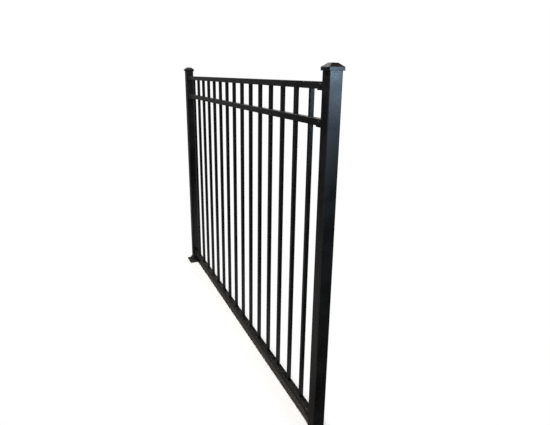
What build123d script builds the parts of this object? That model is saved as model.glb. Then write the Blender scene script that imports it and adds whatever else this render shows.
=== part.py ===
"""One bay of a powder-coated aluminium railing, modelled piece by piece.

Two square posts stand on cast floor flanges and carry three channel rails in cup
brackets. Hollow square pickets pass through holes punched in the webs of the lower
rails and end under the web of the top rail. A hipped cap closes each post.
Millimetres, +Z up, +X along the bay from the left post to the right one, +Y towards
the back. The origin is the middle of the underside of the left floor flange.
"""

import os

from build123d import *

# Bay layout: the clear width lies between the two posts
CLEAR_WIDTH = 2000.0
PICKET_COUNT = 15
PANEL_HEIGHT = 1360.0
UPPER_RAIL_GAP = 100.0

# Post: a square tube, and the lengths of it that show above and below the brackets
POST_SIZE = 50.0
POST_WALL = 2.0
POST_CORNER = 2.5
POST_HEAD = 35.0
POST_FOOT = 34.0

# Picket: a thinner square tube, cut a little short of the bottom rail's lower edge
PICKET_SIZE = 16.0
PICKET_WALL = 1.2
PICKET_CORNER = 1.0
PICKET_INSET = 3.0

# Rail: a channel that opens downwards
RAIL_FACE = 25.0
RAIL_WALL = 1.8
RAIL_WEB = 1.6
RAIL_ROOM = 2.7
RAIL_CORNER = 1.5

# Clearances of sliding fits and of seats
SLIP_FIT = 0.25
SEAT_GAP = 0.25

# Cup bracket at each rail end, open above so that the rail drops in
BRACKET_LENGTH = 48.0
BRACKET_WALL = 4.0
BRACKET_BACK = 5.0
BRACKET_CORNER = 2.0
BRACKET_CHAMFER = 1.5

# Post cap
CAP_WALL = 4.75
CAP_SKIRT = 12.0
CAP_ROOF = 3.0
CAP_RISE = 13.0
CAP_RUN = 17.0
CAP_CORNER = 2.0
CAP_EDGE = 1.0

# Floor flange
PLATE_THICKNESS = 9.0
PLATE_BORDER = 18.0
PLATE_CORNER = 6.0
PLATE_CHAMFER = 3.0
COLLAR_HEIGHT = 20.0
COLLAR_WALL = 6.25
COLLAR_SPREAD = 6.5
COLLAR_CORNER = 4.0
COLLAR_EDGE = 1.5
COLLAR_ROOT = 2.5
ANCHOR_EDGE = 11.0
ANCHOR_HOLE = 10.0

# Sizes that follow
PICKET_GAP = (CLEAR_WIDTH - PICKET_COUNT * PICKET_SIZE) / (PICKET_COUNT + 1)
PICKET_PITCH = PICKET_GAP + PICKET_SIZE
RAIL_DEPTH = PICKET_SIZE + 2 * (RAIL_ROOM + RAIL_WALL)
BRACKET_MARGIN = SLIP_FIT + BRACKET_WALL
SOCKET_SIZE = POST_SIZE + 2 * SLIP_FIT
CAP_SIZE = SOCKET_SIZE + 2 * CAP_WALL
CAP_CROWN = CAP_SIZE - 2 * CAP_RUN
COLLAR_TOP = SOCKET_SIZE + 2 * COLLAR_WALL
COLLAR_BASE = COLLAR_TOP + 2 * COLLAR_SPREAD
PLATE_SIZE = COLLAR_BASE + 2 * PLATE_BORDER
ANCHOR_SPACING = PLATE_SIZE - 2 * ANCHOR_EDGE

# Places that follow
SPAN_START = POST_SIZE / 2
SPAN_END = SPAN_START + CLEAR_WIDTH
POST_PLACES = {"left": 0.0, "right": SPAN_END + POST_SIZE / 2}
COLLAR_LEVEL = PLATE_THICKNESS + COLLAR_HEIGHT
PANEL_BOTTOM = COLLAR_LEVEL + POST_FOOT + BRACKET_MARGIN
PANEL_TOP = PANEL_BOTTOM + PANEL_HEIGHT
SKIRT_LEVEL = PANEL_TOP + POST_HEAD
EAVES_LEVEL = SKIRT_LEVEL + CAP_SKIRT
POST_TOP = EAVES_LEVEL - CAP_ROOF
RAIL_LEVELS = {
    "bottom": PANEL_BOTTOM + RAIL_FACE / 2,
    "middle": PANEL_TOP - UPPER_RAIL_GAP - RAIL_FACE * 3 / 2,
    "top": PANEL_TOP - RAIL_FACE / 2,
}

# Boxes stand on their lower face, and brackets reach out from the post below their upper face
STANDING = (Align.CENTER, Align.CENTER, Align.MIN)
REACHING = (Align.MIN, Align.CENTER, Align.MAX)


def square_tube(size, wall, corner):
    """Section of a square tube with rounded outside corners."""
    return RectangleRounded(size, size, corner) - Rectangle(size - 2 * wall, size - 2 * wall)


def tapered_block(low_size, low_level, high_size, high_level, corner):
    """Square block that tapers from one level to another."""
    low = Plane.XY.offset(low_level) * RectangleRounded(low_size, low_size, corner)
    high = Plane.XY.offset(high_level) * RectangleRounded(high_size, high_size, corner)
    return loft([low, high])


def socket(low_level, high_level):
    """Square hollow that takes the post between two levels."""
    return Pos(0, 0, low_level) * Box(SOCKET_SIZE, SOCKET_SIZE, high_level - low_level, align=STANDING)


def post(x):
    """Post tube from the floor of its flange to the underside of its cap."""
    section = Plane.XY.offset(PLATE_THICKNESS) * square_tube(POST_SIZE, POST_WALL, POST_CORNER)
    return Pos(x, 0, 0) * extrude(section, POST_TOP - PLATE_THICKNESS)


def picket_places():
    """Middles of the pickets along the bay."""
    first = SPAN_START + PICKET_GAP + PICKET_SIZE / 2
    return [first + index * PICKET_PITCH for index in range(PICKET_COUNT)]


def picket(x):
    """Picket tube from just inside the bottom rail to the underside of the top rail's web."""
    foot = PANEL_BOTTOM + PICKET_INSET
    head = PANEL_TOP - RAIL_WEB - SEAT_GAP
    section = Plane.XY.offset(foot) * square_tube(PICKET_SIZE, PICKET_WALL, PICKET_CORNER)
    return Pos(x, 0, 0) * extrude(section, head - foot)


def channel():
    """Section of a rail: an upside-down U with its two upper corners rounded."""
    outline = Rectangle(RAIL_DEPTH, RAIL_FACE)
    outline = fillet(outline.vertices().group_by(Axis.Y)[-1], RAIL_CORNER)
    return outline - Pos(0, -RAIL_WEB) * Rectangle(RAIL_DEPTH - 2 * RAIL_WALL, RAIL_FACE)


def rail(level, punched):
    """Rail from bracket to bracket, with its web punched where pickets pass through it."""
    start = SPAN_START + BRACKET_BACK + SEAT_GAP
    end = SPAN_END - BRACKET_BACK - SEAT_GAP
    bar = Pos(0, 0, level) * extrude(Plane.YZ.offset(start) * channel(), end - start)
    if not punched:
        return bar
    hole = PICKET_SIZE + 2 * SLIP_FIT
    web_level = level + RAIL_FACE / 2 - RAIL_WEB
    punch = Box(hole, hole, RAIL_WEB, align=STANDING)
    return bar - [Pos(x, 0, web_level) * punch for x in picket_places()]


def bracket(post_face, level, turn):
    """Cup bracket, open above, that holds a rail end against a post face, turned about the vertical."""
    cup = Box(BRACKET_LENGTH, RAIL_DEPTH + 2 * BRACKET_MARGIN, RAIL_FACE + BRACKET_MARGIN, align=REACHING)
    cup = fillet(cup.edges().filter_by(Axis.X), BRACKET_CORNER)
    cup = chamfer(cup.faces().sort_by(Axis.X)[-1].edges(), BRACKET_CHAMFER)
    pocket = Box(BRACKET_LENGTH - BRACKET_BACK, RAIL_DEPTH + 2 * SLIP_FIT, RAIL_FACE + SLIP_FIT, align=REACHING)
    cup -= Pos(BRACKET_BACK, 0, 0) * pocket
    return Pos(post_face, 0, level + RAIL_FACE / 2) * Rot(0, 0, turn) * cup


def cap(x):
    """Post cap: a straight skirt under a hipped roof that ends in a flat crown."""
    skirt = extrude(Plane.XY.offset(SKIRT_LEVEL) * RectangleRounded(CAP_SIZE, CAP_SIZE, CAP_CORNER), CAP_SKIRT)
    roof = tapered_block(CAP_SIZE, EAVES_LEVEL, CAP_CROWN, EAVES_LEVEL + CAP_RISE, CAP_CORNER)
    body = skirt + roof
    body = fillet(body.faces().sort_by(Axis.Z)[-1].edges(), CAP_EDGE)
    return Pos(x, 0, 0) * (body - socket(SKIRT_LEVEL, POST_TOP))


def floor_flange(x):
    """Cast flange: a drilled plate with a tapered collar round the foot of the post."""
    plate = extrude(RectangleRounded(PLATE_SIZE, PLATE_SIZE, PLATE_CORNER), PLATE_THICKNESS)
    plate = chamfer(plate.faces().sort_by(Axis.Z)[-1].edges(), PLATE_CHAMFER)
    collar = tapered_block(COLLAR_BASE, PLATE_THICKNESS, COLLAR_TOP, COLLAR_LEVEL, COLLAR_CORNER)
    collar = fillet(collar.faces().sort_by(Axis.Z)[-1].edges(), COLLAR_EDGE)
    body = plate + collar
    seam = body.edges().filter_by_position(Axis.Z, PLATE_THICKNESS, PLATE_THICKNESS)
    body = fillet(seam.sort_by(lambda edge: edge.center().length)[:8], COLLAR_ROOT)
    anchor = Cylinder(ANCHOR_HOLE / 2, PLATE_THICKNESS, align=STANDING)
    anchors = [place * anchor for place in GridLocations(ANCHOR_SPACING, ANCHOR_SPACING, 2, 2)]
    return Pos(x, 0, 0) * (body - socket(PLATE_THICKNESS, COLLAR_LEVEL) - anchors)


def railing():
    """All pieces of the bay, by name."""
    pieces = {}
    for side, x in POST_PLACES.items():
        pieces[f"{side}_post"] = post(x)
        pieces[f"{side}_post_cap"] = cap(x)
        pieces[f"{side}_floor_flange"] = floor_flange(x)
    for name, level in RAIL_LEVELS.items():
        pieces[f"{name}_rail"] = rail(level, punched=name != "top")
        pieces[f"{name}_left_bracket"] = bracket(SPAN_START, level, 0)
        pieces[f"{name}_right_bracket"] = bracket(SPAN_END, level, 180)
    for number, x in enumerate(picket_places(), start=1):
        pieces[f"picket_{number:02d}"] = picket(x)
    return pieces


os.makedirs("parts", exist_ok=True)
for piece_name, piece in railing().items():
    export_step(piece, f"parts/{piece_name}.step")
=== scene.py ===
"""Looks of one bay of a black powder-coated aluminium railing.

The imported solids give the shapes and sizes. This script gives them their coats, adds the screws
at the brackets and along the rails, and sets up the floor, the lamps and the camera.
Metres, +Z up, +X along the bay from the left post to the right one, +Y towards the back.
"""

import logging
import math
from collections.abc import Sequence
from dataclasses import dataclass
from enum import Enum

import bpy
import numpy as np
from mathutils import Matrix, Vector


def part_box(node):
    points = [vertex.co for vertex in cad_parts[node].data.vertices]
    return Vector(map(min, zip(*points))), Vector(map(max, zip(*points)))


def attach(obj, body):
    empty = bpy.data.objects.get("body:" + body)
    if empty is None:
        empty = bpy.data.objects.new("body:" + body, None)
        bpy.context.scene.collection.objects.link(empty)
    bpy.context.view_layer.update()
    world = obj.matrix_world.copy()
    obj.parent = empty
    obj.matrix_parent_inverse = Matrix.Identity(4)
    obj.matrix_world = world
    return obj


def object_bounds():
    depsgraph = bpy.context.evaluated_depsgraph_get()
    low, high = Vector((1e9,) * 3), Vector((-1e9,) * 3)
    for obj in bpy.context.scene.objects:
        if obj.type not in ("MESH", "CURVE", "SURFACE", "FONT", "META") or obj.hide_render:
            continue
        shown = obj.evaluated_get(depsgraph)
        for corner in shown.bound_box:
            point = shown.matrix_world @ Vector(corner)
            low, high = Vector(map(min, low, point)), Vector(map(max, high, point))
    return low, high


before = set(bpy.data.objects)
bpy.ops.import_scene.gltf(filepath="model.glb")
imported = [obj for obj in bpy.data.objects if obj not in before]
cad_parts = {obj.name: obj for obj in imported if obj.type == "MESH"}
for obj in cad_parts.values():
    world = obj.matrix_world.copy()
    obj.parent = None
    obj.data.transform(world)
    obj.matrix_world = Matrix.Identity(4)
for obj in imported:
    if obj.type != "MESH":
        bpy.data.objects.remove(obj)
CAD_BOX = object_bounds()

LOG = logging.getLogger("railing")
BODY = "root"
PICKETS = sorted(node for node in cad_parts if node.startswith("picket_"))
MM = 0.001
PHOTO_WIDTH = 550
SENSOR_WIDTH = 36.0

Colour = tuple[float, float, float, float]
Point = tuple[float, float, float]
Socket = bpy.types.NodeSocket
Feed = Socket | float | Colour

WHITE: Colour = (1.0, 1.0, 1.0, 1.0)


class Side(Enum):
    """The two ends of the bay."""

    LEFT = "left"
    RIGHT = "right"


class Level(Enum):
    """The three heights at which a rail runs."""

    TOP = "top"
    MIDDLE = "middle"
    BOTTOM = "bottom"


class Facing(Enum):
    """The way a screw head faces, as a sign along Y."""

    FRONT = -1.0
    BACK = 1.0


class Drive(Enum):
    """Number of sides of the recess that turns a screw."""

    SQUARE = 4
    HEXAGON = 6


class Slot(Enum):
    """The record's material slots."""

    EXTRUSION = "extrusion_coat"
    CASTING = "casting_coat"


class NodeSheet:
    """A shader node tree that is drawn up from the left to the right."""

    # Places of a Mix node's factor and two colours, and of its blended colour
    MIX_INPUTS = (0, 6, 7)
    MIX_RESULT = 2

    def __init__(self, tree: bpy.types.NodeTree) -> None:
        """Keeps the tree, emptied."""
        self.tree = tree
        tree.nodes.clear()

    def add(self, kind: str, **settings: object) -> bpy.types.Node:
        """Adds one node.

        Args:
            kind: the node's type.
            settings: properties of the node by name.

        Returns:
            The new node.
        """
        node = self.tree.nodes.new(kind)
        for name, value in settings.items():
            setattr(node, name, value)
        return node

    def feed(self, target: Socket, value: Feed) -> None:
        """Links an output to a socket, or sets a constant on it.

        Args:
            target: the socket.
            value: the output or the constant.
        """
        if isinstance(value, Socket):
            self.tree.links.new(value, target)
        else:
            target.default_value = value

    def work(self, operation: str, first: Feed, second: Feed = 0.0) -> Socket:
        """Works out one sum of one or two numbers.

        Args:
            operation: a Math node's operation.
            first: the left-hand number.
            second: the right-hand number, where the operation takes one.

        Returns:
            The result.
        """
        node = self.add("ShaderNodeMath", operation=operation)
        self.feed(node.inputs[0], first)
        self.feed(node.inputs[1], second)
        return node.outputs[0]

    def ease(self, value: Feed, start: float, end: float, low: float = 0.0, high: float = 1.0) -> Socket:
        """Carries a number smoothly from one span to another.

        Args:
            value: the number.
            start: where the result is low.
            end: where the result is high.
            low: result at the start.
            high: result at the end.

        Returns:
            The number in its new span.
        """
        node = self.add("ShaderNodeMapRange", interpolation_type="SMOOTHSTEP")
        numbers = {"Value": value, "From Min": start, "From Max": end, "To Min": low, "To Max": high}
        for name, number in numbers.items():
            self.feed(node.inputs[name], number)
        return node.outputs["Result"]

    def noise(self, place: Socket, scale: Feed, detail: float) -> Socket:
        """Draws cloudy noise at a number of features per metre.

        Args:
            place: coordinates in metres.
            scale: features per metre.
            detail: number of finer layers.

        Returns:
            Noise round one half.
        """
        node = self.add("ShaderNodeTexNoise")
        self.feed(node.inputs["Vector"], place)
        self.feed(node.inputs["Scale"], scale)
        self.feed(node.inputs["Detail"], detail)
        return node.outputs["Fac"]

    def blend(self, share: Feed, first: Feed, second: Feed) -> Socket:
        """Blends two colours.

        Args:
            share: share of the second colour.
            first: the first colour.
            second: the second colour.

        Returns:
            The blended colour.
        """
        node = self.add("ShaderNodeMix", data_type="RGBA")
        for place, value in zip(self.MIX_INPUTS, (share, first, second)):
            self.feed(node.inputs[place], value)
        return node.outputs[self.MIX_RESULT]

    def choose(self, share: Feed, first: Socket, second: Socket) -> Socket:
        """Mixes two shaders.

        Args:
            share: share of the second shader.
            first: the first shader.
            second: the second shader.

        Returns:
            The mixed shader.
        """
        node = self.add("ShaderNodeMixShader")
        for place, value in enumerate((share, first, second)):
            self.feed(node.inputs[place], value)
        return node.outputs[0]

    def seen_rays(self) -> Socket:
        """Tells the rays that show the background, straight or in a reflection or glass.

        Returns:
            One for such rays, and nought for the rest.
        """
        path = self.add("ShaderNodeLightPath")
        mirrored = self.work("MAXIMUM", path.outputs["Is Glossy Ray"], path.outputs["Is Transmission Ray"])
        return self.work("MAXIMUM", path.outputs["Is Camera Ray"], mirrored)

    def deliver(self, surface: Socket, kind: str = "ShaderNodeOutputMaterial") -> None:
        """Links a shader to a new output of the tree."""
        self.feed(self.add(kind).inputs["Surface"], surface)


def blank_finish(name: str) -> tuple[bpy.types.Material, NodeSheet]:
    """Makes a material with nothing drawn in it.

    Args:
        name: the material's name.

    Returns:
        The material and its empty node sheet.
    """
    material = bpy.data.materials.new(name)
    material.use_nodes = True
    return material, NodeSheet(material.node_tree)


class SharedEffect:
    """A shader node group that several finishes use, built at its first use."""

    NAME = ""
    INPUTS: dict[str, str] = {}
    OUTPUTS: dict[str, str] = {}

    def tree(self) -> bpy.types.NodeTree:
        """Finds the group's node tree, or builds it the first time.

        Returns:
            The node tree.
        """
        known = bpy.data.node_groups.get(self.NAME)
        if known:
            return known
        tree = bpy.data.node_groups.new(self.NAME, "ShaderNodeTree")
        for label, kind in self.INPUTS.items():
            tree.interface.new_socket(label, in_out="INPUT", socket_type=kind)
        for label, kind in self.OUTPUTS.items():
            tree.interface.new_socket(label, in_out="OUTPUT", socket_type=kind)
        sheet = NodeSheet(tree)
        given = sheet.add("NodeGroupInput")
        result = sheet.add("NodeGroupOutput")
        self.draw(sheet, given.outputs, result.inputs)
        return tree

    def draw(self, sheet: NodeSheet, given: bpy.types.NodeOutputs, result: bpy.types.NodeInputs) -> None:
        """Draws the effect inside its group, from what the group is given to what it puts out."""
        raise NotImplementedError

    def place(self, sheet: NodeSheet, **values: Feed) -> bpy.types.NodeOutputs:
        """Places the group in a material.

        Args:
            sheet: the material's node sheet.
            values: what its inputs get, by name in lower case.

        Returns:
            The group's outputs.
        """
        node = sheet.add("ShaderNodeGroup", node_tree=self.tree())
        for label in self.INPUTS:
            sheet.feed(node.inputs[label], values[label.lower()])
        return node.outputs


class CoatSkin(SharedEffect):
    """Skin of a sprayed and baked coat: an orange-peel ripple with finer specks, and slow mottling."""

    NAME = "coat_skin"
    INPUTS = {"Place": "NodeSocketVector", "Ripples": "NodeSocketFloat", "Mottles": "NodeSocketFloat"}
    OUTPUTS = {"Height": "NodeSocketFloat", "Mottle": "NodeSocketFloat"}
    RIPPLE_DETAIL = 1.0
    SPECKS_PER_RIPPLE = 3.7
    SPECK_DETAIL = 0.0
    SPECK_SHARE = 0.35
    MOTTLE_DETAIL = 4.0
    MOTTLE_SPAN = (0.3, 0.7)

    def draw(self, sheet: NodeSheet, given: bpy.types.NodeOutputs, result: bpy.types.NodeInputs) -> None:
        """Adds a share of fine specks to the ripple, and draws the mottling by itself.

        Args:
            sheet: the group's node sheet.
            given: what the group is given, by name.
            result: what the group puts out, by name.
        """
        ripple = sheet.noise(given["Place"], given["Ripples"], self.RIPPLE_DETAIL)
        specks = sheet.work("MULTIPLY", given["Ripples"], self.SPECKS_PER_RIPPLE)
        speck = sheet.noise(given["Place"], specks, self.SPECK_DETAIL)
        speck = sheet.work("MULTIPLY", speck, self.SPECK_SHARE)
        sheet.feed(result["Height"], sheet.work("ADD", ripple, speck))
        mottle = sheet.noise(given["Place"], given["Mottles"], self.MOTTLE_DETAIL)
        sheet.feed(result["Mottle"], sheet.ease(mottle, *self.MOTTLE_SPAN))


class EdgeRub(SharedEffect):
    """Rounding of sharp edges, and the patches along them where handling has thinned the coat."""

    NAME = "edge_rub"
    INPUTS = {"Place": "NodeSocketVector", "Radius": "NodeSocketFloat", "Patches": "NodeSocketFloat"}
    OUTPUTS = {"Rub": "NodeSocketFloat", "Rounded": "NodeSocketVector"}
    ROUNDING_SAMPLES = 6
    TURN_SPAN = (0.01, 0.12)
    PATCH_DETAIL = 3.0
    PATCH_SPAN = (0.45, 0.7)

    def draw(self, sheet: NodeSheet, given: bpy.types.NodeOutputs, result: bpy.types.NodeInputs) -> None:
        """Rubs where the rounded normal leaves the flat one, within patches of noise.

        Args:
            sheet: the group's node sheet.
            given: what the group is given, by name.
            result: what the group puts out, by name.
        """
        rounded = sheet.add("ShaderNodeBevel", samples=self.ROUNDING_SAMPLES)
        sheet.feed(rounded.inputs["Radius"], given["Radius"])
        flat = sheet.add("ShaderNodeNewGeometry")
        turn = sheet.add("ShaderNodeVectorMath", operation="DOT_PRODUCT")
        sheet.feed(turn.inputs[0], rounded.outputs["Normal"])
        sheet.feed(turn.inputs[1], flat.outputs["Normal"])
        edge = sheet.ease(sheet.work("SUBTRACT", 1.0, turn.outputs["Value"]), *self.TURN_SPAN)
        cloud = sheet.noise(given["Place"], given["Patches"], self.PATCH_DETAIL)
        patch = sheet.ease(cloud, *self.PATCH_SPAN)
        sheet.feed(result["Rub"], sheet.work("MULTIPLY", edge, patch))
        sheet.feed(result["Rounded"], rounded.outputs["Normal"])


class SettledDust(SharedEffect):
    """Dust that lies on upward faces, and splashes that dry on near the ground."""

    NAME = "settled_dust"
    INPUTS = {"Place": "NodeSocketVector", "Splash": "NodeSocketFloat"}
    OUTPUTS = {"Dust": "NodeSocketFloat"}
    LYING_SLOPE = (0.5, 0.95)
    SPLASH_FADE = 0.25
    SPLASH_SHARE = 0.6
    CLOUDS = 38.0
    CLOUD_DETAIL = 3.0
    CLOUD_SPAN = (0.35, 0.75)
    GRITS = 420.0
    GRIT_DETAIL = 2.0
    GRIT_SPAN = (0.4, 0.7)
    GRIT_LEAST = 0.35

    def draw(self, sheet: NodeSheet, given: bpy.types.NodeOutputs, result: bpy.types.NodeInputs) -> None:
        """Takes the larger of dust by upward slope and splash by height, broken up by clouds and grit.

        Args:
            sheet: the group's node sheet.
            given: what the group is given, by name.
            result: what the group puts out, by name.
        """
        surface = sheet.add("ShaderNodeNewGeometry")
        slope = sheet.add("ShaderNodeSeparateXYZ")
        sheet.feed(slope.inputs[0], surface.outputs["Normal"])
        lying = sheet.ease(slope.outputs["Z"], *self.LYING_SLOPE)
        spot = sheet.add("ShaderNodeSeparateXYZ")
        sheet.feed(spot.inputs[0], given["Place"])
        below = sheet.work("SUBTRACT", given["Splash"], spot.outputs["Z"])
        splash = sheet.work("MULTIPLY", sheet.ease(below, 0.0, self.SPLASH_FADE), self.SPLASH_SHARE)
        clouds = sheet.noise(given["Place"], self.CLOUDS, self.CLOUD_DETAIL)
        grits = sheet.noise(given["Place"], self.GRITS, self.GRIT_DETAIL)
        grit = sheet.ease(grits, *self.GRIT_SPAN, low=self.GRIT_LEAST)
        cover = sheet.work("MULTIPLY", sheet.ease(clouds, *self.CLOUD_SPAN), grit)
        sheet.feed(result["Dust"], sheet.work("MULTIPLY", sheet.work("MAXIMUM", lying, splash), cover))


@dataclass(frozen=True)
class PowderCoat:
    """Satin black powder coat on aluminium.

    The colours are linear, the roughnesses are the glossiest and the dullest spot, ripples, mottles
    and patches are counted per metre, and the depth, the edge radius and the splash height are lengths.
    """

    name: str
    colour: Colour = (0.0034, 0.0034, 0.0038, 1.0)
    faded: Colour = (0.0068, 0.0067, 0.0068, 1.0)
    rubbed: Colour = (0.045, 0.045, 0.047, 1.0)
    dusty: Colour = (0.075, 0.068, 0.058, 1.0)
    glossiest: float = 0.25
    dullest: float = 0.33
    specular: float = 0.24
    ripples: float = 520.0
    mottles: float = 9.0
    patches: float = 24.0
    depth: float = 0.22 * MM
    bump: float = 0.26
    edge: float = 0.9 * MM
    dust: float = 0.28
    dust_roughness: float = 0.5
    splash_height: float = 0.22

    def material(self) -> bpy.types.Material:
        """Draws the finish.

        Returns:
            The material: black that fades in mottles, rubbed along its edges, dusty where dust lies,
            with a rippled skin over rounded edges.
        """
        material, sheet = blank_finish(self.name)
        place = sheet.add("ShaderNodeTexCoord").outputs["Object"]
        skin = CoatSkin().place(sheet, place=place, ripples=self.ripples, mottles=self.mottles)
        rub = EdgeRub().place(sheet, place=place, radius=self.edge, patches=self.patches)
        settled = SettledDust().place(sheet, place=place, splash=self.splash_height)
        dust = sheet.work("MULTIPLY", settled["Dust"], self.dust)
        coat = sheet.blend(skin["Mottle"], self.colour, self.faded)
        coat = sheet.blend(rub["Rub"], coat, self.rubbed)
        coat = sheet.blend(dust, coat, self.dusty)
        rough = sheet.ease(skin["Mottle"], 0.0, 1.0, self.glossiest, self.dullest)
        rough = sheet.work("ADD", rough, sheet.work("MULTIPLY", dust, self.dust_roughness))
        bump = sheet.add("ShaderNodeBump")
        bump.inputs["Strength"].default_value = self.bump
        bump.inputs["Distance"].default_value = self.depth
        sheet.feed(bump.inputs["Height"], skin["Height"])
        sheet.feed(bump.inputs["Normal"], rub["Rounded"])
        shader = sheet.add("ShaderNodeBsdfPrincipled")
        shader.inputs["Specular IOR Level"].default_value = self.specular
        sheet.feed(shader.inputs["Base Color"], coat)
        sheet.feed(shader.inputs["Roughness"], rough)
        sheet.feed(shader.inputs["Normal"], bump.outputs["Normal"])
        sheet.deliver(shader.outputs["BSDF"])
        return material


@dataclass(frozen=True)
class TurnedMetal:
    """Blackened screw metal with the fine rings that turning leaves.

    Rings are counted along the lathe map and stains per metre.
    """

    STAIN_DETAIL = 3.0
    STAIN_SPAN = (0.4, 0.7)
    RING_SPAN = (0.3, 0.7)

    name: str
    colour: Colour = (0.03, 0.03, 0.032, 1.0)
    tarnished: Colour = (0.017, 0.0165, 0.016, 1.0)
    glossiest: float = 0.26
    dullest: float = 0.40
    rings: float = 60.0
    stains: float = 700.0
    depth: float = 0.05 * MM
    bump: float = 0.25

    def material(self) -> bpy.types.Material:
        """Draws the finish.

        Returns:
            The material: metal with tarnish in spots, and rings that follow the lathe map.
        """
        material, sheet = blank_finish(self.name)
        place = sheet.add("ShaderNodeTexCoord").outputs["Object"]
        lathe = sheet.add("ShaderNodeUVMap", uv_map=ScrewHead.LATHE_MAP)
        across = sheet.add("ShaderNodeSeparateXYZ")
        sheet.feed(across.inputs[0], lathe.outputs["UV"])
        ring = sheet.add("ShaderNodeTexNoise", noise_dimensions="1D")
        sheet.feed(ring.inputs["W"], across.outputs["Y"])
        sheet.feed(ring.inputs["Scale"], self.rings)
        stain = sheet.ease(sheet.noise(place, self.stains, self.STAIN_DETAIL), *self.STAIN_SPAN)
        rough = sheet.ease(ring.outputs["Fac"], *self.RING_SPAN, self.glossiest, self.dullest)
        bump = sheet.add("ShaderNodeBump")
        bump.inputs["Strength"].default_value = self.bump
        bump.inputs["Distance"].default_value = self.depth
        sheet.feed(bump.inputs["Height"], ring.outputs["Fac"])
        shader = sheet.add("ShaderNodeBsdfPrincipled")
        shader.inputs["Metallic"].default_value = 1.0
        sheet.feed(shader.inputs["Base Color"], sheet.blend(stain, self.colour, self.tarnished))
        sheet.feed(shader.inputs["Roughness"], rough)
        sheet.feed(shader.inputs["Normal"], bump.outputs["Normal"])
        sheet.deliver(shader.outputs["BSDF"])
        return material


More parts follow.
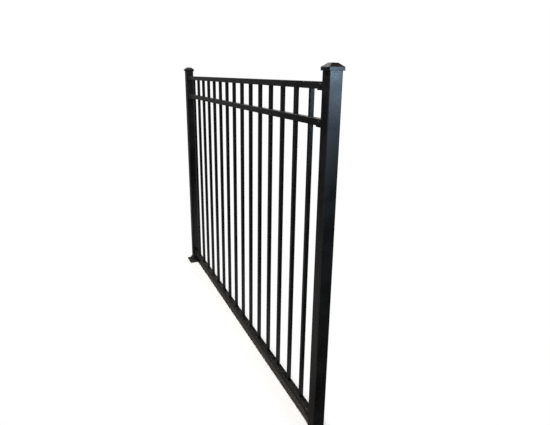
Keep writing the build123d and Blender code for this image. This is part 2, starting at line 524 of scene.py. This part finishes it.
@dataclass(frozen=True)
class ScrewHead:
    """A domed screw head with a recess for its key, along -Y from the face it is screwed to.

    The seat and the start of the dome are shares of the head's radius. The end of the dome, the
    floor of the recess and its point are shares of the key's apothem, which is half its flats.
    """

    LATHE_MAP = "lathe"
    SEAT_SHARE = 0.97
    DOME_START = 0.96
    DOME_END = 1.25
    FLOOR_SHARE = 0.94
    POINT_SHARE = 0.3
    SHARP_ANGLE = 38.0

    radius: float
    height: float
    rim: float
    drive: Drive
    key_flats: float
    key_depth: float
    sunk: float = 0.2 * MM
    segments: int = 48
    dome_rings: int = 8

    def dome_height(self, radius: np.ndarray | float) -> np.ndarray | float:
        """Gives the height at a radius, which falls with its square from the full height to the rim."""
        return self.rim + (self.height - self.rim) * (1 - (radius / self.radius) ** 2)

    def profile(self) -> tuple[np.ndarray, np.ndarray, np.ndarray]:
        """Works out the rings of the head, from the middle of its seat to the middle of its recess.

        The recess starts where the dome meets the key's flats.

        Returns:
            Radius, height and keyness of each ring, where keyness goes from round to key-shaped.
        """
        apothem = self.key_flats / 2
        lip = self.dome_height(apothem)
        floor = lip - self.key_depth
        dome = np.linspace(self.radius * self.DOME_START, apothem * self.DOME_END, self.dome_rings)
        seat_radius = [0, self.radius * self.SEAT_SHARE, self.radius, self.radius]
        seat_height = [-self.sunk, -self.sunk, 0, self.rim]
        key_radius = [apothem, apothem * self.FLOOR_SHARE, 0]
        key_height = [lip, floor, floor - apothem * self.POINT_SHARE]
        radius = np.concatenate((seat_radius, dome, key_radius))
        height = np.concatenate((seat_height, self.dome_height(dome), key_height))
        keyness = np.repeat((0.0, 1.0), (len(radius) - len(key_radius), len(key_radius)))
        return radius, height, keyness

    def surface(self) -> tuple[np.ndarray, np.ndarray, np.ndarray]:
        """Carries the profile round the screw's axis.

        A ring is a circle, or a regular polygon whose radius is the apothem over the cosine of the
        angle from the middle of its side, by the ring's keyness.

        Returns:
            Points as (rings, segments, 3), and the lathe map's two coordinates of each point.
        """
        radius, height, keyness = self.profile()
        angle = np.linspace(0, 2 * np.pi, self.segments, endpoint=False)
        side = 2 * np.pi / self.drive.value
        polygon = 1 / np.cos(np.mod(angle, side) - side / 2)
        reach = radius[:, None] * (1 + keyness[:, None] * (polygon[None, :] - 1))
        x = reach * np.cos(angle)
        z = reach * np.sin(angle)
        y = np.broadcast_to(-height[:, None], x.shape)
        along = np.broadcast_to(angle / (2 * np.pi), x.shape)
        down = np.broadcast_to(np.linspace(0, 1, len(radius))[:, None], x.shape)
        return np.stack((x, y, z), axis=-1), along, down

    def faces(self, rings: int) -> tuple[np.ndarray, np.ndarray, np.ndarray]:
        """Numbers the corners of one head's faces.

        Quads join each open ring to the next one. The first and the last ring are single points, and
        triangles run from them to their neighbours.

        Args:
            rings: number of rings of the surface.

        Returns:
            Corners of the quads, of the seat's triangles and of the recess's triangles.
        """
        column = np.arange(self.segments)
        after = np.roll(column, -1)
        lower = 1 + np.arange(rings - 3)[:, None] * self.segments
        upper = lower + self.segments
        quads = np.stack((lower + column, lower + after, upper + after, upper + column), -1)
        last = 1 + (rings - 2) * self.segments
        inner = last - self.segments
        seat = np.stack((np.zeros_like(column), 1 + after, 1 + column), -1)
        recess = np.stack((np.full_like(column, last), inner + column, inner + after), -1)
        return quads.reshape(-1, 4), seat, recess

    def build(self, name: str, places: np.ndarray, facing: Facing) -> bpy.types.Object:
        """Makes one piece of all the heads at the given places.

        Args:
            name: the piece's name.
            places: middles of the seats as (count, 3).
            facing: the way the heads face. Those at the back are turned half round.

        Returns:
            The new object, at the origin.
        """
        grid, along, down = self.surface()
        turn = np.array([-facing.value, -facing.value, 1.0])
        points = np.concatenate((grid[0, :1], grid[1:-1].reshape(-1, 3), grid[-1, :1])) * turn
        u = np.concatenate(([0.5], along[1:-1].ravel(), [0.5]))
        v = np.concatenate(([0.0], down[1:-1].ravel(), [1.0]))
        shift = np.arange(len(places))[:, None, None] * len(points)
        corners = []
        for block in self.faces(len(grid)):
            corners += (block[None] + shift).reshape(-1, block.shape[1]).tolist()
        mesh = bpy.data.meshes.new(name)
        mesh.from_pydata((points[None] + places[:, None]).reshape(-1, 3).tolist(), [], corners)
        vertex = np.empty(len(mesh.loops), dtype=np.int32)
        mesh.loops.foreach_get("vertex_index", vertex)
        vertex %= len(points)
        lathe = mesh.uv_layers.new(name=self.LATHE_MAP)
        lathe.data.foreach_set("uv", np.stack((u[vertex], v[vertex]), -1).astype(np.float32).ravel())
        mesh.shade_smooth()
        mesh.set_sharp_from_angle(angle=math.radians(self.SHARP_ANGLE))
        mesh.update()
        piece = bpy.data.objects.new(name, mesh)
        bpy.context.scene.collection.objects.link(piece)
        return piece


@dataclass
class Uprights:
    """Posts with their caps and floor flanges, and the pickets between them."""

    tube_coat: bpy.types.Material
    cast_coat: bpy.types.Material

    def dress(self) -> None:
        """Gives tubes the smooth coat and castings the coarser one."""
        for side in Side:
            coat_node(f"{side.value}_post", self.tube_coat)
            coat_node(f"{side.value}_post_cap", self.cast_coat)
            coat_node(f"{side.value}_floor_flange", self.cast_coat)
        for picket in PICKETS:
            coat_node(picket, self.tube_coat)


@dataclass
class RailWork:
    """Rails in their cup brackets, with the screws that hold them and the pickets."""

    tube_coat: bpy.types.Material
    cast_coat: bpy.types.Material
    screw_metal: bpy.types.Material
    bracket_head: ScrewHead = ScrewHead(
        radius=6.2 * MM,
        height=3.6 * MM,
        rim=0.7 * MM,
        drive=Drive.HEXAGON,
        key_flats=5.0 * MM,
        key_depth=2.6 * MM,
    )
    picket_head: ScrewHead = ScrewHead(
        radius=3.4 * MM,
        height=2.2 * MM,
        rim=0.5 * MM,
        drive=Drive.SQUARE,
        key_flats=2.6 * MM,
        key_depth=1.5 * MM,
        segments=24,
        dome_rings=5,
    )
    bracket_screw_share: float = 0.54

    def dress(self) -> None:
        """Coats the rails and brackets, and screws them together."""
        for level in Level:
            coat_node(f"{level.value}_rail", self.tube_coat)
            for side in Side:
                coat_node(f"{level.value}_{side.value}_bracket", self.cast_coat)
                self.bracket_screw(level, side)
            self.picket_screws(level)

    def bracket_screw(self, level: Level, side: Side) -> None:
        """Puts a screw in a bracket's front face, level with the rail's middle.

        Args:
            level: the rail's height.
            side: the end of the bay. The share of the bracket's length is counted from its post.
        """
        bracket = f"{level.value}_{side.value}_bracket"
        low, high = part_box(bracket)
        rail_low, rail_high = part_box(f"{level.value}_rail")
        share = self.bracket_screw_share if side is Side.LEFT else 1 - self.bracket_screw_share
        place = (low.x + share * (high.x - low.x), low.y, (rail_low.z + rail_high.z) / 2)
        screw = self.bracket_head.build(f"{bracket}_screw", np.array([place]), Facing.FRONT)
        finish_piece(screw, self.screw_metal)

    def picket_screws(self, level: Level) -> None:
        """Puts a row of small screws in the back of a rail, one behind each picket.

        Args:
            level: the rail's height.
        """
        low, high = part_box(f"{level.value}_rail")
        height = (low.z + high.z) / 2
        boxes = [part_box(picket) for picket in PICKETS]
        places = np.array([((left.x + right.x) / 2, high.y, height) for left, right in boxes])
        screws = self.picket_head.build(f"{level.value}_rail_picket_screws", places, Facing.BACK)
        finish_piece(screws, self.screw_metal)


@dataclass(frozen=True)
class SoftLamp:
    """A rectangular soft lamp that faces a point, and may give nothing but glare."""

    name: str
    place: Point
    aim: Point
    size: tuple[float, float]
    watts: float
    colour: tuple[float, float, float] = (1.0, 1.0, 1.0)
    glare_only: bool = False

    def build(self) -> None:
        """Hangs the lamp."""
        light = bpy.data.lights.new(self.name, "AREA")
        light.shape = "RECTANGLE"
        light.size, light.size_y = self.size
        light.energy = self.watts
        light.color = self.colour
        lamp = bpy.data.objects.new(self.name, light)
        lamp.location = self.place
        away = Vector(self.place) - Vector(self.aim)
        lamp.rotation_euler = away.to_track_quat("Z", "Y").to_euler()
        lamp.visible_camera = False
        lamp.visible_diffuse = not self.glare_only
        bpy.context.scene.collection.objects.link(lamp)


@dataclass(frozen=True)
class ReflectionCard:
    """A flat glowing card of one tone between two opposite corners, which only reflections show: a painted
    reflection that lays light or shade on the coat.

    A card that shades keeps the lamps behind it off the railing.
    """

    name: str
    low: Point
    high: Point
    tone: Colour
    shades: bool = False

    def corners(self) -> list[list[float]]:
        """Gives the card's corners in turn.

        The card is flat along one axis. Its second and fourth corners take one of the two other
        coordinates from the high corner.

        Returns:
            The four corners.
        """
        corners = np.array([self.low, self.low, self.high, self.low])
        first, second = np.flatnonzero(corners[0] != corners[2])
        corners[1, first] = self.high[first]
        corners[3, second] = self.high[second]
        return corners.tolist()

    def build(self) -> None:
        """Sets up the card."""
        card = flat_card(self.name, self.corners())
        card.visible_camera = False
        card.visible_diffuse = False
        card.visible_shadow = self.shades
        material, sheet = blank_finish(f"{self.name}_tone")
        tone = sheet.add("ShaderNodeEmission")
        tone.inputs["Color"].default_value = self.tone
        sheet.deliver(tone.outputs[0])
        card.data.materials.append(material)


@dataclass
class Studio:
    """Pale floor, soft lamps, white surroundings, glowing cards that only reflections show, which paint
    reflected light and shade onto the black coat, and the camera.

    The camera's place is in metres, its turns are in degrees and its focal length is in pixels.
    """

    # Planes in which the cards stand or lie, and the tones of those behind the panel: a dark one that
    # paints reflected shade, and a glowing one that paints a highlight on the rails' top faces
    END_X = -2.6
    BACK_Y = 0.4
    CARD_Z = 0.002
    FOOT_Z = 0.004
    ROOF_Z = 3.2
    DARK_REFLECTION = (0.02, 0.02, 0.02, 1.0)
    BRIGHT_REFLECTION = (0.9, 0.88, 0.86, 1.0)

    floor_half: float = 14.0
    floor_colour: Colour = (0.82, 0.81, 0.79, 1.0)
    fade_start: float = 0.035
    fade_end: float = 0.1
    ambient: float = 0.08
    ambient_colour: Colour = (0.85, 0.78, 0.68, 1.0)
    camera_place: Point = (3.4184, -0.7937, 1.4472)
    camera_yaw: float = 66.505
    camera_pitch: float = 16.755
    camera_roll: float = 0.856
    focal_pixels: float = 458.2
    lamps: Sequence[SoftLamp] = (
        SoftLamp(
            "overhead_lamp",
            place=(1.0, -0.82, 3.8),
            aim=(1.0, 0.0, 0.0),
            size=(6.4, 0.3),
            watts=248.0,
        ),
        SoftLamp(
            "cool_side_lamp",
            place=(9.45, 5.6, 2.1),
            aim=(2.05, 0.0, 1.5),
            size=(3.0, 1.4),
            watts=740.0,
            colour=(0.5, 0.75, 1.0),
            glare_only=True,
        ),
    )
    # Painted reflections: each card sets what the coat mirrors there. The flags and the roof card paint
    # reflected shade, the glowing card paints a highlight, and the floor cards, grey to dark, paint
    # reflected floor shade on the lower faces
    cards: Sequence[ReflectionCard] = (
        ReflectionCard("left_end_card", (END_X, -1.9, 0.0), (END_X, 1.1, 2.1), (0.165, 0.16, 0.155, 1.0)),
        ReflectionCard("front_card", (END_X, -6.0, 0.0), (END_X, -1.9, 3.6), (0.03, 0.03, 0.032, 1.0)),
        ReflectionCard("back_card", (-0.4, BACK_Y, 0.0), (2.56, BACK_Y, 1.3), DARK_REFLECTION, shades=True),
        ReflectionCard("back_top_card", (1.5, BACK_Y, 1.3), (2.56, BACK_Y, 1.85), DARK_REFLECTION, shades=True),
        ReflectionCard("back_glow_card", (-0.4, BACK_Y, 1.3), (1.5, BACK_Y, 1.85), BRIGHT_REFLECTION, shades=True),
        ReflectionCard("far_floor_card", (-5.0, -6.0, CARD_Z), (2.3, -1.3, CARD_Z), (0.05, 0.048, 0.045, 1.0)),
        ReflectionCard("front_floor_card", (-5.0, -1.3, CARD_Z), (2.3, -0.2, CARD_Z), (0.26, 0.245, 0.22, 1.0)),
        ReflectionCard("foot_card", (-5.0, -0.2, CARD_Z), (2.3, -0.075, CARD_Z), (0.12, 0.11, 0.10, 1.0)),
        ReflectionCard("rail_foot_card", (-5.0, -0.075, CARD_Z), (2.3, -0.01, CARD_Z), (0.15, 0.14, 0.125, 1.0)),
        # Painted shade: a dark patch beside the right post's foot, darkening the lower end of the post in
        # reflection
        ReflectionCard("post_foot_card", (2.11, 0.0, FOOT_Z), (2.4, 0.3, FOOT_Z), (0.03, 0.03, 0.03, 1.0)),
        ReflectionCard("side_floor_card", (2.18, 0.0, CARD_Z), (14.0, 12.0, CARD_Z), (0.14, 0.14, 0.145, 1.0)),
        ReflectionCard("roof_card", (0.5, 0.5, ROOF_Z), (2.2, 1.8, ROOF_Z), (0.09, 0.10, 0.11, 1.0)),
    )

    def build(self) -> None:
        """Sets up the studio."""
        bpy.context.scene.view_settings.view_transform = "Standard"
        self.surroundings()
        self.floor()
        for fitting in (*self.lamps, *self.cards):
            fitting.build()
        self.camera()

    def surroundings(self) -> None:
        """Shows white to the eye and in reflections, and lights everything else softly."""
        world = bpy.data.worlds.new("white_surroundings")
        world.use_nodes = True
        bpy.context.scene.world = world
        sheet = NodeSheet(world.node_tree)
        soft = sheet.add("ShaderNodeBackground")
        soft.inputs["Color"].default_value = self.ambient_colour
        soft.inputs["Strength"].default_value = self.ambient
        white = sheet.add("ShaderNodeBackground")
        white.inputs["Color"].default_value = WHITE
        seen = sheet.choose(sheet.seen_rays(), soft.outputs[0], white.outputs[0])
        sheet.deliver(seen, "ShaderNodeOutputWorld")

    def floor(self) -> None:
        """Lays a pale floor that fades to white away from the line on which the railing stands."""
        half = self.floor_half
        middle = (CAD_BOX[0].x + CAD_BOX[1].x) / 2
        floor = flat_card("floor", [(-half, -half, 0), (half, -half, 0), (half, half, 0), (-half, half, 0)])
        material, sheet = blank_finish("pale_floor")
        spot = sheet.add("ShaderNodeSeparateXYZ")
        sheet.feed(spot.inputs[0], sheet.add("ShaderNodeTexCoord").outputs["Object"])
        along = sheet.work("ABSOLUTE", sheet.work("SUBTRACT", spot.outputs["X"], middle))
        beyond = sheet.work("MAXIMUM", sheet.work("SUBTRACT", along, CAD_BOX[1].x - middle), 0.0)
        step = sheet.add("ShaderNodeCombineXYZ")
        sheet.feed(step.inputs["X"], beyond)
        sheet.feed(step.inputs["Y"], spot.outputs["Y"])
        away = sheet.add("ShaderNodeVectorMath", operation="LENGTH")
        sheet.feed(away.inputs[0], step.outputs[0])
        fade = sheet.ease(away.outputs["Value"], self.fade_start, self.fade_end)
        pale = sheet.add("ShaderNodeBsdfDiffuse")
        pale.inputs["Color"].default_value = self.floor_colour
        white = sheet.add("ShaderNodeEmission")
        white.inputs["Color"].default_value = WHITE
        share = sheet.work("MULTIPLY", fade, sheet.seen_rays())
        sheet.deliver(sheet.choose(share, pale.outputs[0], white.outputs[0]))
        floor.data.materials.append(material)

    def camera(self) -> None:
        """Stands the camera at its place and turns it by yaw, pitch and roll."""
        yaw = math.radians(self.camera_yaw)
        pitch = math.radians(self.camera_pitch)
        roll = math.radians(self.camera_roll)
        reach = math.cos(pitch)
        ahead = Vector((-math.sin(yaw) * reach, math.cos(yaw) * reach, -math.sin(pitch)))
        level = Vector((math.cos(yaw), math.sin(yaw), 0.0))
        upright = level.cross(ahead)
        right = math.cos(roll) * level + math.sin(roll) * upright
        up = math.cos(roll) * upright - math.sin(roll) * level
        lens = bpy.data.cameras.new("photo_camera")
        lens.sensor_fit = "HORIZONTAL"
        lens.sensor_width = SENSOR_WIDTH
        lens.lens = self.focal_pixels / PHOTO_WIDTH * SENSOR_WIDTH
        camera = bpy.data.objects.new("photo_camera", lens)
        turn = Matrix((right, up, -ahead)).transposed().to_4x4()
        camera.matrix_world = Matrix.Translation(self.camera_place) @ turn
        bpy.context.scene.collection.objects.link(camera)
        bpy.context.scene.camera = camera


def flat_card(name: str, corners: Sequence[Sequence[float]]) -> bpy.types.Object:
    """Makes a flat four-cornered card.

    Args:
        name: its name.
        corners: its corners in turn.

    Returns:
        The new object.
    """
    mesh = bpy.data.meshes.new(name)
    mesh.from_pydata(corners, [], [(0, 1, 2, 3)])
    card = bpy.data.objects.new(name, mesh)
    bpy.context.scene.collection.objects.link(card)
    return card


def coat_node(node: str, coat: bpy.types.Material) -> None:
    """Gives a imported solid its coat.

    Args:
        node: the solid's name.
        coat: its finish.
    """
    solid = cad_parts[node]
    solid.data.materials.clear()
    solid.data.materials.append(coat)
    LOG.info("%s wears %s", node, coat.name)


def finish_piece(piece: bpy.types.Object, finish: bpy.types.Material) -> None:
    """Gives a new piece its finish and the body that it rides on.

    Args:
        piece: the new object.
        finish: its material.
    """
    piece.data.materials.append(finish)
    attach(piece, BODY)
    LOG.info("%s made, in %s", piece.name, finish.name)


def main() -> None:
    """Dresses the railing and sets up the studio."""
    logging.basicConfig(level=logging.INFO, format="%(name)s: %(message)s")
    tube_coat = PowderCoat("smooth_powder_coat").material()
    cast_coat = PowderCoat(
        "cast_powder_coat",
        ripples=380.0,
        depth=0.3 * MM,
        bump=0.3,
        glossiest=0.29,
        dullest=0.39,
        edge=1.2 * MM,
    ).material()
    screw_metal = TurnedMetal("blackened_steel").material()
    Uprights(tube_coat, cast_coat).dress()
    RailWork(tube_coat, cast_coat, screw_metal).dress()
    Studio().build()


if __name__ == "__main__":
    main()
